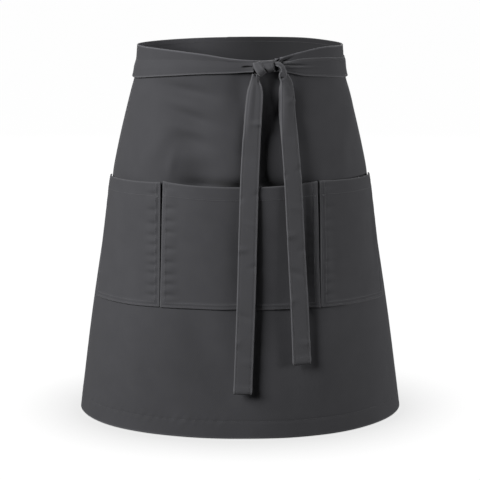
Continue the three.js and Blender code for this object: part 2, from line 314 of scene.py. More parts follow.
def cotton_twill(name, dark, light, worn_and_lit):
    """Twill with its pattern in the cloth's own lengths, a darker reverse that is partly painted shade, and
    a paler colour for rubbed wear, painted highlight and painted light.
    """
    material, tree = bare_material(name)
    cloth = add_node(tree, "ShaderNodeAttribute", {"attribute_name": "cloth"}, {}).outputs["Vector"]
    wear_and_painted_light = add_node(tree, "ShaderNodeAttribute", {"attribute_name": "wear_and_painted_light"}, {}).outputs["Fac"]
    reverse_and_shade = add_node(tree, "ShaderNodeAttribute", {"attribute_name": "reverse_and_shade"}, {}).outputs["Fac"]
    slanted = add_node(
        tree, "ShaderNodeMapping", {}, {"Vector": cloth, "Rotation": (0, 0, math.radians(TWILL_SLANT))}
    ).outputs["Vector"]
    ribs = add_node(
        tree,
        "ShaderNodeTexWave",
        {"wave_type": "BANDS", "bands_direction": "X"},
        {
            "Vector": slanted,
            "Scale": WAVE_TURN / (TWILL_RIB * MM),
            "Distortion": RIB_WOBBLE,
            "Detail": RIB_WOBBLE_DETAIL,
            "Detail Scale": RIB_WOBBLE_SCALE,
        },
    ).outputs["Fac"]
    stretched = add_node(
        tree,
        "ShaderNodeMapping",
        {},
        {"Vector": cloth, "Scale": (1 / (THREAD_ACROSS * MM), 1 / (THREAD_ALONG * MM), 1)},
    ).outputs["Vector"]
    threads = add_node(
        tree,
        "ShaderNodeTexNoise",
        {},
        {"Vector": stretched, "Scale": 1, "Detail": THREAD_DETAIL, "Roughness": THREAD_UNEVENNESS},
    ).outputs["Fac"]
    mottle = add_node(
        tree,
        "ShaderNodeTexNoise",
        {},
        {"Vector": cloth, "Scale": 1 / (MOTTLE_SIZE * MM), "Detail": MOTTLE_DETAIL},
    ).outputs["Fac"]
    woven = add_node(
        tree, "ShaderNodeMix", {}, {"Factor": THREAD_SHARE, "A": ribs, "B": threads}
    ).outputs["Result"]
    flecked = add_node(
        tree, "ShaderNodeMix", {}, {"Factor": MOTTLE_SHARE, "A": woven, "B": mottle}
    ).outputs["Result"]
    colour = linear(dark)
    for share, code in ((flecked, light), (reverse_and_shade, TWILL_REVERSE_AND_SHADE), (wear_and_painted_light, worn_and_lit)):
        colour = add_node(
            tree,
            "ShaderNodeMix",
            {"data_type": "RGBA"},
            {"Factor": share, "A": colour, "B": linear(code)},
        ).outputs["Result"]
    relief = add_node(
        tree,
        "ShaderNodeBump",
        {},
        {"Strength": TWILL_RELIEF_STRENGTH, "Distance": TWILL_RELIEF * MM, "Height": woven},
    ).outputs["Normal"]
    shader = add_node(
        tree,
        "ShaderNodeBsdfPrincipled",
        {},
        {
            "Base Color": colour,
            "Roughness": COTTON_ROUGHNESS,
            "IOR": COTTON_IOR,
            "Specular IOR Level": COTTON_SPECULAR,
            "Sheen Weight": COTTON_SHEEN,
            "Sheen Roughness": COTTON_SHEEN_ROUGHNESS,
            "Normal": relief,
        },
    )
    add_node(tree, "ShaderNodeOutputMaterial", {}, {"Surface": shader.outputs["BSDF"]})
    return material


def mesh_piece(name, points, faces, pattern, rubbing_and_painted_light, material):
    """A smooth mesh on the apron's one body, with the lengths, and the wear and painted light, that its
    material reads.
    """
    mesh = bpy.data.meshes.new(name)
    mesh.from_pydata(points.tolist(), [], faces.tolist())
    mesh.attributes.new("cloth", "FLOAT_VECTOR", "POINT").data.foreach_set("vector", pattern.ravel())
    mesh.attributes.new("wear_and_painted_light", "FLOAT", "POINT").data.foreach_set("value", rubbing_and_painted_light)
    mesh.shade_smooth()
    mesh.materials.append(material)
    piece = bpy.data.objects.new(name, mesh)
    bpy.context.collection.objects.link(piece)
    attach(piece, "root")
    return piece


def cloth_piece(name, outer, inner, along, drop, wear_and_painted_light, inner_wear_and_painted_light, material):
    """A closed cloth wall with a round edge, from its two faces: rows run down, columns to the right."""
    rows, columns = outer.shape[:2]
    row, column = np.mgrid[0:rows, 0:columns]
    number = row * columns + column
    ring = np.concatenate([number[0, :-1], number[:-1, -1], number[-1, :0:-1], number[:0:-1, 0]])
    inside = np.clip(row, 1, rows - 2) * columns + np.clip(column, 1, columns - 2)
    outer, inner = outer.reshape(-1, 3), inner.reshape(-1, 3)
    edge_outer, edge_inner = outer[ring], inner[ring]
    heading = edge_outer - outer[inside.ravel()[ring]]
    heading /= np.linalg.norm(heading, axis=1, keepdims=True)
    thickness = np.linalg.norm(edge_outer - edge_inner, axis=1, keepdims=True)
    edge = (edge_outer + edge_inner) / 2 + heading * thickness / 2
    corners = [number[:-1, :-1], number[1:, :-1], number[1:, 1:], number[:-1, 1:]]
    front = np.stack(corners, axis=-1).reshape(-1, 4)
    back = front[:, ::-1] + len(outer)
    here = np.arange(len(ring))
    following = np.roll(here, -1)
    first = 2 * len(outer)
    inner_ring = ring + len(outer)
    lip = np.stack([ring, ring[following], first + following, first + here], axis=1)
    under = np.stack([first + here, first + following, inner_ring[following], inner_ring], axis=1)
    lengths = np.stack([along.ravel(), drop.ravel(), np.zeros(len(outer))], axis=1) * MM
    points = np.concatenate([outer, inner, edge])
    faces = np.concatenate([front, back, lip, under])
    pattern = np.concatenate([lengths, lengths, lengths[ring]])
    rubbing_and_painted_light = np.concatenate([wear_and_painted_light.ravel(), inner_wear_and_painted_light.ravel(), wear_and_painted_light.ravel()[ring]])
    piece = mesh_piece(name, points, faces, pattern, rubbing_and_painted_light, material)
    # The inner face is marked for the darker reverse, which is partly painted shade
    reverse_and_shade = np.zeros(len(points))
    reverse_and_shade[len(outer) : first] = 1
    piece.data.attributes.new("reverse_and_shade", "FLOAT", "POINT").data.foreach_set("value", reverse_and_shade)
    return piece


# Rows of the panel's grid as shares of the way from the rim to the hem, closer at the waist and the hem
WAIST_SHARE, HEM_SHARE = 0.06, 0.94
WAIST_ROWS, SKIRT_ROWS, HEM_ROWS = 30, 96, 24
panel_rows = np.concatenate(
    [
        np.linspace(0, WAIST_SHARE, WAIST_ROWS)[:-1],
        np.linspace(WAIST_SHARE, HEM_SHARE, SKIRT_ROWS)[:-1],
        np.linspace(HEM_SHARE, 1, HEM_ROWS),
    ]
)
# Columns as shares of the way from the front centre to a side edge, closer by the knot and at the edges
KNOT_SHARE, CREASED_SHARE, SIDE_SHARE = 0.09, 0.22, 0.965
LEFT_COLUMNS, KNOT_COLUMNS, CREASED_COLUMNS, RIGHT_COLUMNS, SIDE_COLUMNS = 122, 12, 46, 94, 10
edge_columns = np.linspace(SIDE_SHARE, 1, SIDE_COLUMNS)
left_columns = np.concatenate([np.linspace(0, SIDE_SHARE, LEFT_COLUMNS)[1:-1], edge_columns])
right_columns = np.concatenate(
    [
        np.linspace(0, KNOT_SHARE, KNOT_COLUMNS)[:-1],
        np.linspace(KNOT_SHARE, CREASED_SHARE, CREASED_COLUMNS)[:-1],
        np.linspace(CREASED_SHARE, SIDE_SHARE, RIGHT_COLUMNS)[:-1],
        edge_columns,
    ]
)
panel_columns = np.concatenate([-left_columns[::-1], right_columns])
column_share, row_share = np.meshgrid(panel_columns, panel_rows)
plain_drop = row_share * HEM_DROP
panel_along = column_share * panel_edge(plain_drop)
panel_drop = lerp(read_table(WAIST_LINES, "along", "rim", panel_along), HEM_DROP, row_share)
# Edges are paler over this width: partly rubbed wear, partly painted highlight
PALE_EDGE_WIDTH = 2
rim_off = panel_drop - panel_drop[0]
side_off = panel_edge(plain_drop) - np.abs(panel_along)
edge_off = np.minimum(rim_off, HEM_DROP - panel_drop)
side_wear_and_highlight = (1 - ease(side_off, 0, PALE_EDGE_WIDTH)) * ease(panel_drop, PRESS_DROP, 2 * PRESS_DROP)
panel_wear_and_highlight = np.maximum(1 - ease(edge_off, 0, PALE_EDGE_WIDTH), side_wear_and_highlight)
# Inside, painted light makes the cloth paler towards the left
INSIDE_LIGHT_BEGINS, INSIDE_LIGHT_FULL = -45, 130
panel_inside = panel_back(panel_along, panel_drop, 0)
inside_painted_light = ease(-panel_inside[..., 0] / MM, INSIDE_LIGHT_BEGINS, INSIDE_LIGHT_FULL)
panel_twill = cotton_twill("charcoal_panel_twill", PANEL_DARK, PANEL_LIGHT, PANEL_WORN_AND_LIT)
panel = cloth_piece(
    "apron_panel",
    panel_face(panel_along, panel_drop, 0),
    panel_inside,
    panel_along,
    panel_drop,
    panel_wear_and_highlight,
    inside_painted_light,
    panel_twill,
)
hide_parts("skirt_panel")

# Polyester sewing thread in the cloth's own shade, a little smoother than the cotton, so a little brighter.
# The thread is about 0.4 mm thick on the real seams; it is drawn thicker, so that the stitches show.
THREAD_RADIUS = 0.28
STITCH_LENGTH, STITCH_PITCH = 2.9, 3.7
STITCH_RISE, STITCH_SINK = 0.22, 0.25
# Places along a stitch, and the share of the thread's full thickness at each
STITCH_STOPS = np.array([0, 0.12, 0.5, 0.88, 1])
STITCH_SWELL = np.array([0.35, 0.85, 1, 0.85, 0.35])
THREAD_SIDES = 6
POLYESTER_IOR = 1.6
THREAD_ROUGHNESS, THREAD_SHEEN = 0.62, 0.1
THREAD_COLOUR, THREAD_SHADE = "#4b4b4e", "#39393c"
THREAD_PLY = 0.8
# How far from an edge a row of stitches ends, and how many points its line has
SEAM_END = 1
HEM_SEAM_POINTS, SIDE_SEAM_POINTS = 700, 400


def sewing_thread(name, pale, dark):
    """Twisted thread: a pale and a dark ply that wind round each other."""
    material, tree = bare_material(name)
    place = add_node(tree, "ShaderNodeAttribute", {"attribute_name": "cloth"}, {}).outputs["Vector"]
    plies = add_node(
        tree,
        "ShaderNodeTexWave",
        {"bands_direction": "DIAGONAL"},
        {"Vector": place, "Scale": WAVE_TURN / (THREAD_PLY * MM)},
    ).outputs["Fac"]
    colour = add_node(
        tree,
        "ShaderNodeMix",
        {"data_type": "RGBA"},
        {"Factor": plies, "A": linear(dark), "B": linear(pale)},
    ).outputs["Result"]
    shader = add_node(
        tree,
        "ShaderNodeBsdfPrincipled",
        {},
        {
            "Base Color": colour,
            "Roughness": THREAD_ROUGHNESS,
            "IOR": POLYESTER_IOR,
            "Sheen Weight": THREAD_SHEEN,
        },
    )
    add_node(tree, "ShaderNodeOutputMaterial", {}, {"Surface": shader.outputs["BSDF"]})
    return material


def stitch_row(face, across, down):
    """Rings of points for the stitches along a line on a cloth face: stitches, rings, sides."""
    line = face(across, down, 0)
    travelled = np.concatenate([[0], np.cumsum(np.linalg.norm(np.diff(line, axis=0), axis=1))])
    count = max(1, int(travelled[-1] / (STITCH_PITCH * MM)))
    begins = (np.arange(count) + 0.5) * travelled[-1] / count - STITCH_LENGTH * MM / 2
    height = lerp(-STITCH_SINK, STITCH_RISE, np.sin(math.pi * STITCH_STOPS))
    places = begins[:, None] + STITCH_LENGTH * MM * STITCH_STOPS
    ring_across = np.interp(places, travelled, across)
    ring_down = np.interp(places, travelled, down)
    middle = face(ring_across, ring_down, height)
    upright = face(ring_across, ring_down, height + 1) - middle
    upright /= np.linalg.norm(upright, axis=-1, keepdims=True)
    heading = np.gradient(middle, axis=1)
    sideways = np.cross(upright, heading)
    sideways /= np.linalg.norm(sideways, axis=-1, keepdims=True)
    turns = np.arange(THREAD_SIDES) * 2 * math.pi / THREAD_SIDES
    radius = THREAD_RADIUS * MM * STITCH_SWELL[None, :, None, None]
    spokes = np.cos(turns)[:, None] * sideways[:, :, None]
    spokes = spokes + np.sin(turns)[:, None] * upright[:, :, None]
    return middle[:, :, None] + radius * spokes


def tube_faces(count, rings, sides):
    """The faces of closed tubes whose points are counted by tube, ring and side."""
    number = np.arange(count * rings * sides).reshape(count, rings, sides)
    beside = np.roll(number, -1, axis=2)
    corners = [number[:, :-1], beside[:, :-1], beside[:, 1:], number[:, 1:]]
    walls = np.stack(corners, axis=-1).reshape(-1, 4)
    caps = []
    for ring, order in ((0, -1), (-1, 1)):
        for i in range(sides // 2 - 1):
            cap = number[:, ring][:, [i, i + 1, sides - 2 - i, sides - 1 - i]]
            caps.append(cap[:, ::order])
    return np.concatenate([walls, *caps])


def stitching(name, rows, material):
    """One piece of all the stitches in some rows."""
    rings = np.concatenate(rows)
    points = rings.reshape(-1, 3)
    faces = tube_faces(*rings.shape[:3])
    return mesh_piece(name, points, faces, points, np.zeros(len(points)), material)


panel_thread = sewing_thread("charcoal_sewing_thread", THREAD_COLOUR, THREAD_SHADE)
seam_line = np.linspace(-1, 1, HEM_SEAM_POINTS)
hem_stitch_drop = np.full_like(seam_line, HEM_DROP - HEM_TURN)
hem_along = seam_line * (panel_edge(hem_stitch_drop) - SEAM_END)
# Behind, the rim's row on the outer layer ends where the inner layer covers it
rim_begin = SEAM_END - EDGE_AT_RIM
rim_end = 2 * half_girth(0) - EDGE_AT_RIM - SEAM_END
rim_along = lerp(rim_begin, rim_end, (seam_line + 1) / 2)
rim_stitch_drop = read_table(WAIST_LINES, "along", "rim", rim_along) + RIM_TURN
side_drop = np.linspace(PRESS_DROP, HEM_DROP - SEAM_END, SIDE_SEAM_POINTS)
side_along = panel_edge(side_drop) - SIDE_TURN
panel_seams = [stitch_row(face, hem_along, hem_stitch_drop) for face in (panel_face, panel_back)]
panel_seams.append(stitch_row(panel_back, rim_along, rim_stitch_drop))
for face in (panel_face, panel_back):
    panel_seams += [stitch_row(face, side * side_along, side_drop) for side in (-1, 1)]
panel_stitching = stitching("panel_stitching", panel_seams, panel_thread)


# Patch pockets
# Three patches of the same twill side by side, with their edges pressed under and sewn to the panel by two
# rows of stitches at the sides and bottom. The top edge of each is turned in, stitched, and hangs open.
POCKET_WALL = 1.2
POCKET_CLEARANCE = 0.5
# Edges of each pocket along and down the cloth, its mouth's sag and gape, and how strong its puckers are
POCKETS = {
    "name": ("pocket_left", "pocket_middle", "pocket_right"),
    "begin": (-278, -125.4, 129.5),
    "end": (-128.8, 125.4, 278),
    "top": (199, 197, 196.5),
    "bottom": (390.5, 391, 390.5),
    "sag": (0.5, 5, 0.5),
    "gape": (4.5, 8, 4.5),
    "pucker_begin": (0.25, 1, 0.5),
    "pucker_end": (1, 0.3, 0.2),
}
# With the flare of the skirt, the seams droop towards the sides and fan out downwards
SEAM_DROOP, SEAM_FAN, POCKET_MIDDLE = 1e-4, 1e-4, 295
# How steeply the gape falls off across and down the pocket
GAPE_ACROSS, GAPE_DOWN = 4, 1.5
# Edges are thicker where cloth is pressed under, and the rows of stitches pull them in
PRESSED_WIDTH, PRESSED_THICKNESS = 9, 1.1
SEAM_INSETS = (2.6, 7)
SEAM_DENT, SEAM_DENT_WIDTH = 0.35, 1.1
# The top edge's turn ends in a low ridge over its row of stitches
POCKET_TURN, POCKET_TURN_THICKNESS, TURN_RIDGE = 20, 0.2, 0.25
# Beside the upright seams the cloth swells between short level puckers, given by their drop on the pocket
# to the left of a seam and on the one to its right
PUCKER_HEIGHT, PUCKER_WIDTH, PUCKER_REACH, PUCKER_FADE = 2.2, 4.5, 32, 12
PUCKERS_AT_LEFT = (219, 244, 265, 283, 298, 315, 329, 342, 361, 376)
PUCKERS_AT_RIGHT = (206, 239, 259, 276, 302, 323, 342, 357, 374)
# The corners of the mouth are held by a slanting row and a close bar of stitches
CORNER_TOP, CORNER_FOOT = 12, 7.5
BAR_DROPS = (1, 1.5, 2)
POCKET_SEAM_POINTS = 160
# The mouth's corners are drawn in by this much, and the foot's corners pushed out by a share of it
CORNER_PULL, CORNER_PULL_POWER, CORNER_SPREAD = 0.9, 9, -0.7
# The worn colour is for the paler edges: partly rubbed wear, partly painted highlight
POCKET_DARK, POCKET_LIGHT, POCKET_WORN_AND_LIT = "#3c3c3f", "#4b4b4e", "#535356"
# The pockets are sewn with a paler thread than the hems
POCKET_THREAD, POCKET_THREAD_SHADE = "#626265", "#4e4e51"
# Width and height of a cell of the pocket's grid
POCKET_COLUMN, POCKET_ROW = 1.5, 1.3


def drawn_in(drop, places):
    """1 at each pucker, falling to 0 between them."""
    return np.clip(sum(np.exp(-(((drop - place) / PUCKER_WIDTH) ** 2)) for place in places), 0, 1)


def make_pocket(name, begin, end, top, bottom, sag, gape, pucker_begin, pucker_end):
    """One patch pocket with its stitches."""

    def edges(along):
        across = (2 * along - begin - end) / (end - begin)
        droop = SEAM_DROOP * along**2
        return across, top + droop + sag * (1 - across**2), bottom + droop

    def swell(along, drop):
        across, top_edge, bottom_edge = edges(along)
        down = np.clip((drop - top_edge) / (bottom_edge - top_edge), 0, 1)
        gaping = gape * (1 - np.abs(across) ** GAPE_ACROSS) * (1 - down) ** GAPE_DOWN
        side_off = np.minimum(along - begin, end - along)
        seam_off = np.minimum(side_off, bottom_edge - drop)
        turn_off = drop - top_edge - POCKET_TURN
        pressed = PRESSED_THICKNESS * (1 - ease(seam_off, PRESSED_WIDTH - TURN_STEP, PRESSED_WIDTH))
        turned = POCKET_TURN_THICKNESS * (1 - ease(turn_off, -TURN_STEP, TURN_STEP))
        dents = sum(np.exp(-(((seam_off - inset) / SEAM_DENT_WIDTH) ** 2)) for inset in SEAM_INSETS)
        ridge = TURN_RIDGE * np.exp(-((turn_off / SEAM_DENT_WIDTH + 1) ** 2))
        beside = ease(side_off, SEAM_INSETS[0], PRESSED_WIDTH)
        beside = beside * (1 - ease(side_off, PRESSED_WIDTH, PUCKER_REACH))
        beside = beside * ease(drop - top_edge, 0, PUCKER_FADE)
        beside = beside * ease(bottom_edge - drop, SEAM_INSETS[0], PUCKER_FADE)
        at_begin = pucker_begin * (1 - drawn_in(drop, PUCKERS_AT_RIGHT))
        at_end = pucker_end * (1 - drawn_in(drop, PUCKERS_AT_LEFT))
        puffed = PUCKER_HEIGHT * beside * np.where(across < 0, at_begin, at_end)
        return gaping + puffed, np.maximum(pressed, turned) + ridge - SEAM_DENT * dents

    def fan(along, drop):
        across, top_edge, bottom_edge = edges(along)
        pull = CORNER_PULL * lerp(1, CORNER_SPREAD, (drop - top_edge) / (bottom_edge - top_edge))
        return along * (1 + SEAM_FAN * (drop - POCKET_MIDDLE)) - pull * across**CORNER_PULL_POWER

    def face(along, drop, lift):
        gaping, fullness = swell(along, drop)
        fanned = fan(along, drop)
        stand = panel_lie(fanned, drop) + POCKET_CLEARANCE + gaping
        return skin(fanned, drop, stand + POCKET_WALL + fullness + lift)

    def back(along, drop):
        gaping, _ = swell(along, drop)
        fanned = fan(along, drop)
        return skin(fanned, drop, panel_lie(fanned, drop) + POCKET_CLEARANCE + gaping)

    columns = np.linspace(begin, end, round((end - begin) / POCKET_COLUMN) + 1)
    shares = np.linspace(0, 1, round((bottom - top) / POCKET_ROW) + 1)
    along, share = np.meshgrid(columns, shares)
    _, top_edge, bottom_edge = edges(along)
    drop = lerp(top_edge, bottom_edge, share)
    side_off = np.minimum(along - begin, end - along)
    level_off = np.minimum(drop - top_edge, bottom_edge - drop)
    # Paler edges: partly rubbed wear, partly painted highlight
    wear_and_painted_light = 1 - ease(np.minimum(side_off, level_off), 0, PALE_EDGE_WIDTH)
    outer, inner = face(along, drop, 0), back(along, drop)
    piece = cloth_piece(name + "_patch", outer, inner, along, drop, wear_and_painted_light, wear_and_painted_light, pocket_twill)
    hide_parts(name)

    rows = []
    steps = np.linspace(0, 1, POCKET_SEAM_POINTS)
    for inset in SEAM_INSETS:
        left, right = begin + inset, end - inset
        for along in (np.full_like(steps, left), np.full_like(steps, right)):
            _, top_edge, bottom_edge = edges(along)
            rows.append(stitch_row(face, along, lerp(top_edge + SEAM_END, bottom_edge - inset, steps)))
        along = lerp(left, right, steps)
        rows.append(stitch_row(face, along, edges(along)[2] - inset))
    along = lerp(begin + SEAM_END, end - SEAM_END, steps)
    rows.append(stitch_row(face, along, edges(along)[1] + POCKET_TURN))
    for corner, inward in ((begin, 1), (end, -1)):
        along = corner + inward * lerp(CORNER_TOP, CORNER_FOOT, steps)
        rows.append(stitch_row(face, along, edges(along)[1] + lerp(SEAM_END, POCKET_TURN, steps)))
        along = corner + inward * lerp(SEAM_END, CORNER_FOOT, steps)
        for bar_drop in BAR_DROPS:
            rows.append(stitch_row(face, along, edges(along)[1] + POCKET_TURN + bar_drop))
    sewn = stitching(name + "_stitching", rows, pocket_thread)


pocket_twill = cotton_twill("charcoal_pocket_twill", POCKET_DARK, POCKET_LIGHT, POCKET_WORN_AND_LIT)
pocket_thread = sewing_thread("grey_sewing_thread", POCKET_THREAD, POCKET_THREAD_SHADE)
for row in zip(*POCKETS.values()):
    make_pocket(*row)


# Waist tie
# A long strip of the twill, folded double lengthwise and edge stitched, that runs round the waist over the
# panel. It lies flat behind and at the sides, and is squeezed into pleats where it goes into the knot.
TIE_WALL = 2
TIE_CLEARANCE = 0.7
KNOT_LEFT, KNOT_RIGHT = 20, 50
# The upper edge lies close on the panel, closest on the left of the knot, and the lower edge stands off
TIE_TOP_THICKNESS, TIE_TOP_ROLL = 0.8, 0.2
FLUSH_BEGINS, FLUSH_FULL, FLUSH_THICKNESS, FLUSH_ROLL = -400, -330, 0.06, 0.6
TIE_TOP_PRESS = 1.3
TIE_FOOT_LIFT, TIE_FOOT_POWER = 1.3, 3
TIE_STITCH_INSET = 2.5
TIE_DENT = 0.3
# Beside the knot the tie swells, and is parted by one deep slit on its left
SWELL_HEIGHT, SWELL_REACH = 5.5, 10
SLIT_DEPTH, SLIT_ACROSS, SLIT_WIDTH, SLIT_BEGINS, SLIT_FULL = 7, 0.54, 0.08, 1, 12
# The worn colour is for the paler edges of the tie, knot and tails: partly rubbed wear, partly painted
# highlight
TIE_DARK, TIE_LIGHT, TIE_WORN_AND_LIT = "#3d3d40", "#4b4b4e", "#5c5c5f"
# The grid's columns are close together near the knot and further apart behind
TIE_ROWS = 36
TIE_NEAR, TIE_NEAR_STEP, TIE_FAR_STEP = 80, 1.6, 5
TIE_SEAM_POINTS = 400


def tie_out(along, across, drop):
    """How far the tie's inner face stands out, and how thick it is."""
    left = np.exp(-np.clip(KNOT_LEFT - along, 0, None) / SWELL_REACH) * (along <= KNOT_LEFT)
    right = np.exp(-np.clip(along - KNOT_RIGHT, 0, None) / SWELL_REACH) * (along >= KNOT_RIGHT)
    slit = np.exp(-(((across - SLIT_ACROSS) / SLIT_WIDTH) ** 2))
    slit = slit * ease(along, SLIT_BEGINS, SLIT_FULL) * (along <= KNOT_LEFT)
    pleats = SWELL_HEIGHT * (left + right) - SLIT_DEPTH * slit
    lifted = TIE_FOOT_LIFT * across**TIE_FOOT_POWER
    stand = TIE_CLEARANCE + lap(along) + panel_lie(along, drop) + lifted + pleats
    flush = ease(along, FLUSH_BEGINS, FLUSH_FULL) * (along <= KNOT_LEFT)
    edge_thickness = lerp(TIE_TOP_THICKNESS, FLUSH_THICKNESS, flush)
    roll = lerp(TIE_TOP_ROLL, FLUSH_ROLL, flush)
    thickness = lerp(edge_thickness, TIE_WALL, ease(across, 0, roll))
    pressed = TIE_CLEARANCE * TIE_TOP_PRESS * flush * (1 - ease(across, 0, FLUSH_ROLL))
    return stand - pressed, thickness


def tie_lines(along):
    """The drops of the tie's upper and lower edges."""
    return [read_table(WAIST_LINES, "along", edge, along) for edge in ("tie_top", "tie_bottom")]


def tie_face(along, across, lift):
    """The tie's outer face, by its distance along and the share of its width from the upper edge."""
    top, bottom = tie_lines(along)
    drop = lerp(top, bottom, across)
    stand, thickness = tie_out(along, across, drop)
    inset = np.minimum(across, 1 - across) * (bottom - top) - TIE_STITCH_INSET
    dent = TIE_DENT * np.exp(-((inset / SEAM_DENT_WIDTH) ** 2))
    return skin(along, drop, stand + thickness - dent + lift)


def tie_back(along, across):
    top, bottom = tie_lines(along)
    drop = lerp(top, bottom, across)
    return skin(along, drop, tie_out(along, across, drop)[0])


tie_shares = np.linspace(0, 1, TIE_ROWS)
back_drop = lerp(WAIST_LINES["tie_top"][0], WAIST_LINES["tie_bottom"][0], tie_shares)
back_reach = half_girth(back_drop[0])
near = np.arange(0, TIE_NEAR, TIE_NEAR_STEP)
far_count = round((back_reach - TIE_NEAR - KNOT_RIGHT) / TIE_FAR_STEP)
tie_rows = []
for drop in back_drop:
    reach = half_girth(drop)
    far_right = np.linspace(KNOT_RIGHT + TIE_NEAR, reach, far_count)
    far_left = np.linspace(-reach, KNOT_LEFT - TIE_NEAR, far_count)[1:]
    tie_rows.append(np.concatenate([KNOT_RIGHT + near, far_right, far_left, KNOT_LEFT - near[::-1]]))
tie_along = np.array(tie_rows)
tie_across = np.broadcast_to(tie_shares[:, None], tie_along.shape)
tie_top, tie_bottom = tie_lines(tie_along)
# Paler edges: partly rubbed wear, partly painted highlight, left out along the flush upper edge
tie_wear_and_highlight = 1 - ease(np.minimum(tie_across, 1 - tie_across) * (tie_bottom - tie_top), 0, PALE_EDGE_WIDTH)
tie_flush = ease(tie_along, FLUSH_BEGINS, FLUSH_FULL) * (tie_along <= KNOT_LEFT)
upper_half = tie_across < 0.5
tie_wear_and_highlight = tie_wear_and_highlight * (1 - tie_flush * upper_half)
tie_twill = cotton_twill("charcoal_tie_twill", TIE_DARK, TIE_LIGHT, TIE_WORN_AND_LIT)
tie = cloth_piece(
    "tie_band",
    tie_face(tie_along, tie_across, 0),
    tie_back(tie_along, tie_across),
    tie_along,
    lerp(tie_top, tie_bottom, tie_across),
    tie_wear_and_highlight,
    tie_wear_and_highlight,
    tie_twill,
)
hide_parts("waist_tie")

tie_seams = []
for begin, end in ((KNOT_RIGHT + SEAM_END, back_reach), (-back_reach, KNOT_LEFT - SEAM_END)):
    seam_along = np.linspace(begin, end, TIE_SEAM_POINTS)
    seam_top, seam_bottom = tie_lines(seam_along)
    inset_share = TIE_STITCH_INSET / (seam_bottom - seam_top)
    tie_seams += [stitch_row(tie_face, seam_along, share) for share in (inset_share, 1 - inset_share)]
tie_stitching = stitching("tie_band_stitching", tie_seams, panel_thread)


# Knot
# The tie's two ends cross in front, right of the middle, and one wraps over the other and is pulled tight.
# The wrap is a flat turn of the strip with its edges rolled in, over a core of the squeezed strand within.
# A strand's way over the knot from stop to stop, by its middle, its half width and its lean in degrees
WRAP = {
    "stop": (0, 1, 2, 3, 4, 5, 6, 7),
    "along": (40, 40, 40, 39.7, 39.5, 40, 40.5, 40.5),
    "drop": (14, 10.2, 10.6, 15.5, 22, 27, 29, 26.5),
    "out": (2, 5, 9.4, 11.4, 13, 10.2, 5.5, 2.5),
    "half_width": (10.5, 11.5, 12.3, 12.5, 12, 10.6, 9.5, 8),
    "lean": (-4, -4, -4, -5, -8, -12, -12, -12),
}
# The second strand comes over the first from the upper left and tucks in below
LOBE = {
    "stop": (0, 1, 2, 3, 4, 5, 6, 7),
    "along": (24.5, 24, 24.8, 27.2, 30.5, 34, 35.8, 35.5),
    "drop": (15, 11.6, 12.4, 18, 24.4, 29.6, 31, 29),
    "out": (2.5, 6, 10.4, 13.4, 15, 12, 7, 3),
    "half_width": (3.5, 4.6, 6, 7.4, 7.2, 5.6, 4.4, 3.6),
    "lean": (-10, -12, -20, -38, -42, -42, -40, -40),
}
WRAP_WALL = 2.2
# The knot is rubbed paler all over, because it is pulled tight with every tying
KNOT_WEAR = 0.6
WRAP_ROLL, WRAP_ROLL_POWER = 5, 6
WRAP_FOLDS = {
    "along": (46, 38, 33, 38.4),
    "drop": (18, 13.6, 21, 24.4),
    "slant": (75, -6, 55, 52),
    "length": (8, 14, 9, 3.4),
    "width": (1.6, 1.3, 1.6, 1),
    "height": (-0.6, -0.7, 0.9, -3.5),
}
WRAP_ROWS, WRAP_COLUMNS = 90, 60
# Cloth from one stop of a strand to the next
TURN_STRIDE = 6
# The core's upper and lower edge and its depth, by the place along, and the creases that wind round it
CORE = {
    "along": (19, 24, 35, 46, 52),
    "top": (14.5, 13.5, 13, 13, 14),
    "bottom": (24, 27, 28, 26.5, 24),
    "depth": (5.5, 8, 9, 8, 6),
}
CORE_BACK = 0.8
CORE_RINGS, CORE_SIDES = 40, 40
CORE_CREASE, CORE_CREASES, CORE_TWIST = 0.7, 7, 1 / 6


def turn_face(strand, across, stop):
    """The outer face of a strand that turns over the knot: across runs from -1 at its left edge to 1."""
    reach = across * read_table(strand, "stop", "half_width", stop)
    lean = np.radians(read_table(strand, "stop", "lean", stop))
    along = read_table(strand, "stop", "along", stop) + reach * np.cos(lean)
    drop = read_table(strand, "stop", "drop", stop) + reach * np.sin(lean)
    out = read_table(strand, "stop", "out", stop)
    rolled = WRAP_ROLL * np.abs(across) ** WRAP_ROLL_POWER * out / max(strand["out"])
    return skin(along, drop, out - rolled + folds(WRAP_FOLDS, along, drop))


def surface_normals(points):
    """The outward normal of a grid of points with rows down and columns to the right."""
    down, right = np.gradient(points, axis=0), np.gradient(points, axis=1)
    normal = np.cross(down, right)
    return normal / np.linalg.norm(normal, axis=-1, keepdims=True)


def make_turn(name, strand):
    """A strip of the tie that turns over the knot."""
    stops = np.linspace(0, strand["stop"][-1], WRAP_ROWS)
    across, stop = np.meshgrid(np.linspace(-1, 1, WRAP_COLUMNS), stops)
    outer = turn_face(strand, across, stop)
    inner = outer - surface_normals(outer) * WRAP_WALL * MM
    half = read_table(strand, "stop", "half_width", stop)
    # Paler edges: partly rubbed wear, partly painted highlight
    wear_and_painted_light = lerp(1, KNOT_WEAR, ease((1 - np.abs(across)) * half, 0, PALE_EDGE_WIDTH))
    piece = cloth_piece(name, outer, inner, across * half, stop * TURN_STRIDE, wear_and_painted_light, wear_and_painted_light, tie_twill)
    return piece


wrap = make_turn("knot_wrap", WRAP)
lobe = make_turn("knot_lobe", LOBE)
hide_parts("tie_knot")

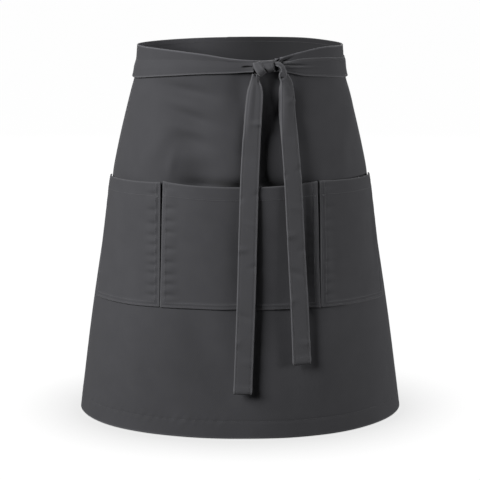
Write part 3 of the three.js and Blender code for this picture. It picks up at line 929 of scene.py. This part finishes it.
core_along, core_turn = np.meshgrid(
    np.linspace(CORE["along"][0], CORE["along"][-1], CORE_RINGS),
    np.arange(CORE_SIDES) * 2 * math.pi / CORE_SIDES,
    indexing="ij",
)
core_top, core_bottom, core_depth = [
    read_table(CORE, "along", column, core_along) for column in ("top", "bottom", "depth")
]
core_crease = CORE_CREASE * np.cos(CORE_CREASES * core_turn + CORE_TWIST * core_along)
core_drop = lerp(core_top, core_bottom, (1 - np.cos(core_turn)) / 2)
core_out = CORE_BACK + (core_depth + core_crease) * (1 + np.sin(core_turn)) / 2
core_points = skin(core_along, core_drop, core_out).reshape(-1, 3)
core = mesh_piece(
    "knot_core",
    core_points,
    tube_faces(1, CORE_RINGS, CORE_SIDES),
    np.stack([core_along.ravel(), core_drop.ravel(), core_out.ravel()], axis=1) * MM,
    np.zeros(len(core_points)),
    tie_twill,
)


# Tie tails
# The two free ends of the tie hang from the knot in front of the panel. Each comes out of the knot narrow
# and folded, opens into a flat strip with stitched edges, and ends in a turned-in, stitched end.
# A tail's way down from stop to stop: its middle, its width, and how far off the plain skirt it hangs
TAIL_LEFT = {
    "stop": (0, 1, 2, 3, 4, 5, 6, 7, 8, 9),
    "along": (23.3, 21.8, 21.8, 21, 18.3, 16.1, 14, 11.5, 9.1, 4),
    "drop": (30.7, 42.5, 50, 63, 100, 148, 190, 280, 375, 519),
    "width": (9, 14, 18.2, 22, 24, 25.2, 25.5, 25.8, 25.8, 25.8),
    "off": (7, 13.5, 15, 15, 13.5, 11, 12.5, 12.5, 13, 12),
}
TAIL_RIGHT = {
    "stop": (0, 1, 2, 3, 4, 5, 6, 7, 8, 9, 10, 11, 12, 13),
    "along": (50.7, 57, 62, 64, 63.3, 65.6, 69.2, 71.1, 72.7, 76.1, 79.4, 84.6, 89.8, 94),
    "drop": (15, 15.6, 19, 25.5, 31, 37.5, 47, 63, 101, 148, 193, 285, 378, 476),
    "width": (5, 5, 5.5, 7, 13, 14, 18.5, 22, 24.3, 25, 25.5, 25.8, 26.2, 27),
    "off": (5, 9.5, 12, 13.5, 14.5, 15, 14, 12, 10.5, 10.5, 11.5, 10.5, 11, 12),
}
# The lengthwise fold below the knot: how far the cloth stands out across the strip, and the drops at which
# the fold begins and ends
FOLD_LEFT = {"across": (-1, -0.9, -0.75, 0.2, 0.75, 1), "out": (-11, -3, -1, 0.2, 1, 1.4)}
FOLD_RIGHT = {"across": (-1, -0.9, -0.75, -0.2, 0.4, 1), "out": (-10, -2.5, -0.6, 1.8, 0.2, -4)}
FOLD_BEGINS, FOLD_FULL, FOLD_FADES, FOLD_ENDS = 30, 54, 80, 135
# Small twists near the roots, by their place across the strip and their drop
TWISTS_LEFT = {
    "across": (0, 5.5),
    "drop": (31.5, 38),
    "slant": (85, 84),
    "length": (3, 7),
    "width": (1.2, 2),
    "height": (-3, -4),
}
TWISTS_RIGHT = {
    "across": (-5.5, -3.7, 2.5),
    "drop": (30.5, 34.5, 46),
    "slant": (30, 10, 75),
    "length": (4, 2.6, 9),
    "width": (3, 1.4, 2),
    "height": (1.2, -2.4, -1),
}
# Faint ripples across the strips: each leans, fades towards one side, and is a ridge or a groove, in turns
RIPPLE_DROPS_LEFT = (104, 152, 215, 256, 296, 325, 400, 438, 470)
RIPPLE_DROPS_RIGHT = (72, 126, 180, 234, 276, 302, 336, 374, 444)
RIPPLE_HEIGHT, RIPPLE_WIDTH, RIPPLE_LEAN = 2.2, 4.5, 5
RIPPLE_TURN, RIPPLE_SIGN_TURN, RIPPLE_FADE = 2.4, 1.7, 2
TAIL_END_TURN, TAIL_END_STEP = 10, 1
TAIL_ROWS, TAIL_COLUMNS = 320, 40
TAIL_END_THICKNESS = 0.9
# The tails are rubbed paler all over, because they are handled with every tying
TAIL_WEAR = 0.27
# The edges' rows of stitches begin at this stop, and the end's row goes this far to each edge
TAIL_SEAM_BEGINS, TAIL_SEAM_POINTS = 0.3, 500
END_SEAM_REACH, END_SEAM_POINTS = 0.95, 60
# The tail's heading is measured over this share of a stop to each side
HEADING_STEP = 0.01


def make_tail(name, route, fold, twists, ripple_drops):
    """One tail with its stitches."""
    end_drop, last_stop = route["drop"][-1], route["stop"][-1]

    def at(column, stop):
        return read_table(route, "stop", column, stop)

    def place(across, stop):
        ahead, behind = stop + HEADING_STEP, stop - HEADING_STEP
        heading_along = at("along", ahead) - at("along", behind)
        heading_drop = at("drop", ahead) - at("drop", behind)
        length = np.hypot(heading_along, heading_drop)
        reach = across * at("width", stop) / 2
        level = at("drop", stop)
        along = at("along", stop) + reach * heading_drop / length
        drop = level - reach * heading_along / length
        kept = ease(level, FOLD_BEGINS, FOLD_FULL) * (1 - ease(level, FOLD_FADES, FOLD_ENDS))
        folded = read_table(fold, "across", "out", across) * kept
        ripple = folds(twists, reach, level)
        for number, ripple_drop in enumerate(ripple_drops):
            lean = RIPPLE_LEAN * math.sin(RIPPLE_TURN * number) * across
            one_sided = (1 + np.sin(RIPPLE_TURN * number + RIPPLE_FADE * across)) / 2
            height = RIPPLE_HEIGHT * math.cos(RIPPLE_SIGN_TURN * number) * one_sided
            ripple = ripple + height * np.exp(-(((level - ripple_drop - lean) / RIPPLE_WIDTH) ** 2))
        return along, drop, at("off", stop) + folded + ripple

    def face(across, stop, lift):
        along, drop, out = place(across, stop)
        inset = (1 - np.abs(across)) * at("width", stop) / 2 - TIE_STITCH_INSET
        dent = TIE_DENT * np.exp(-((inset / SEAM_DENT_WIDTH) ** 2))
        turn_off = at("drop", stop) - (end_drop - TAIL_END_TURN)
        turned = TAIL_END_THICKNESS * ease(turn_off, -TAIL_END_STEP, TAIL_END_STEP)
        return skin(along, drop, out + TIE_WALL + turned - dent + lift)

    def back(across, stop):
        return skin(*place(across, stop))

    stops = np.linspace(0, last_stop, TAIL_ROWS)
    across, stop = np.meshgrid(np.linspace(-1, 1, TAIL_COLUMNS), stops)
    half_width, level = at("width", stop) / 2, at("drop", stop)
    # Paler edges: partly rubbed wear, partly painted highlight
    wear_and_painted_light = lerp(1, TAIL_WEAR, ease((1 - np.abs(across)) * half_width, 0, PALE_EDGE_WIDTH))
    outer, inner = face(across, stop, 0), back(across, stop)
    piece = cloth_piece(
        name + "_strip", outer, inner, across * half_width, level, wear_and_painted_light, wear_and_painted_light, tie_twill
    )
    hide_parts(name)

    end_stop = np.interp(end_drop - TAIL_END_TURN, at("drop", stops), stops)
    seam_stops = np.linspace(TAIL_SEAM_BEGINS, last_stop, TAIL_SEAM_POINTS)
    seam_across = 1 - 2 * TIE_STITCH_INSET / at("width", seam_stops)
    rows = [stitch_row(face, side * seam_across, seam_stops) for side in (-1, 1)]
    end_across = np.linspace(-END_SEAM_REACH, END_SEAM_REACH, END_SEAM_POINTS)
    rows.append(stitch_row(face, end_across, np.full_like(end_across, end_stop)))
    sewn = stitching(name + "_stitching", rows, panel_thread)


make_tail("tie_tail_left", TAIL_LEFT, FOLD_LEFT, TWISTS_LEFT, RIPPLE_DROPS_LEFT)
make_tail("tie_tail_right", TAIL_RIGHT, FOLD_RIGHT, TWISTS_RIGHT, RIPPLE_DROPS_RIGHT)


# Studio
# A plain pale floor just below the hem, a large soft light from the upper left, a weaker one from the right
# that lifts the edge of the skirt there, and one from behind, so that the back can be seen as well.
FLOOR_LEVEL = -0.596
FLOOR_SIZE = 60
FLOOR_COLOUR = "#f4f4f4"
# The floor glows white by itself, and takes only a small share of light and shade
FLOOR_GLOW, FLOOR_SHARE = 1.03, 0.04
# The floor is dimmed close to the hem, where the skirt keeps light from it
FLOOR_DIM, FLOOR_DIM_REACH = 0.55, 0.14
WORLD_COLOUR = "#ffffff"
# The white surround is seen at its full strength, and lights the apron only a little
SKY_SEEN, SKY_FILL = 1, 0.014
LIGHT_TARGET = (0, -0.1, -0.3)
LIGHTS = {
    "name": ("key", "fill", "back"),
    "place": ((-1.85, -1.49, 0.88), (2.57, -0.19, 0.06), (0, 2.53, 0.66)),
    "wide": (1.3, 1.5, 2.0),
    "high": (1.25, 1.0, 1.4),
    "power": (86.0, 46.0, 60.0),
}

floor_material, floor_tree = bare_material("pale_studio_floor")
floor_matt = add_node(floor_tree, "ShaderNodeBsdfDiffuse", {}, {"Color": linear(FLOOR_COLOUR)})
floor_open = add_node(
    floor_tree, "ShaderNodeAmbientOcclusion", {}, {"Distance": FLOOR_DIM_REACH}
).outputs["AO"]
floor_strength = add_node(
    floor_tree,
    "ShaderNodeMix",
    {},
    {"Factor": floor_open, "A": FLOOR_GLOW * (1 - FLOOR_DIM), "B": FLOOR_GLOW},
).outputs["Result"]
floor_glow = add_node(
    floor_tree, "ShaderNodeEmission", {}, {"Color": linear(WORLD_COLOUR), "Strength": floor_strength}
)
floor_mix = add_node(
    floor_tree,
    "ShaderNodeMixShader",
    {},
    {0: FLOOR_SHARE, 1: floor_glow.outputs["Emission"], 2: floor_matt.outputs["BSDF"]},
)
add_node(floor_tree, "ShaderNodeOutputMaterial", {}, {"Surface": floor_mix.outputs["Shader"]})
floor_mesh = bpy.data.meshes.new("studio_floor")
half_floor = FLOOR_SIZE / 2
floor_corners = [(-half_floor, -half_floor, 0), (half_floor, -half_floor, 0)]
floor_corners += [(half_floor, half_floor, 0), (-half_floor, half_floor, 0)]
floor_mesh.from_pydata(floor_corners, [], [(0, 1, 2, 3)])
floor_mesh.materials.append(floor_material)
floor = bpy.data.objects.new("studio_floor", floor_mesh)
floor.location = (0, 0, FLOOR_LEVEL)
floor.visible_diffuse = False
floor.visible_glossy = False
bpy.context.collection.objects.link(floor)

world = bpy.data.worlds.new("studio")
world.use_nodes = True
world.node_tree.nodes.clear()
seen = add_node(world.node_tree, "ShaderNodeLightPath", {}, {}).outputs["Is Camera Ray"]
strength = add_node(
    world.node_tree, "ShaderNodeMix", {}, {"Factor": seen, "A": SKY_FILL, "B": SKY_SEEN}
).outputs["Result"]
sky = add_node(
    world.node_tree, "ShaderNodeBackground", {}, {"Color": linear(WORLD_COLOUR), "Strength": strength}
)
add_node(world.node_tree, "ShaderNodeOutputWorld", {}, {"Surface": sky.outputs["Background"]})
bpy.context.scene.world = world
bpy.context.scene.view_settings.view_transform = "Standard"

for name, place, wide, high, power in zip(*LIGHTS.values()):
    light_data = bpy.data.lights.new(name + "_light", "AREA")
    light_data.shape = "RECTANGLE"
    light_data.size = wide
    light_data.size_y = high
    light_data.energy = power
    light = bpy.data.objects.new(name + "_light", light_data)
    light.location = place
    aim = np.array(LIGHT_TARGET) - np.array(place)
    tilt = math.atan2(math.hypot(aim[0], aim[1]), -aim[2])
    light.rotation_euler = (tilt, 0, math.atan2(aim[1], aim[0]) - math.pi / 2)
    bpy.context.collection.objects.link(light)
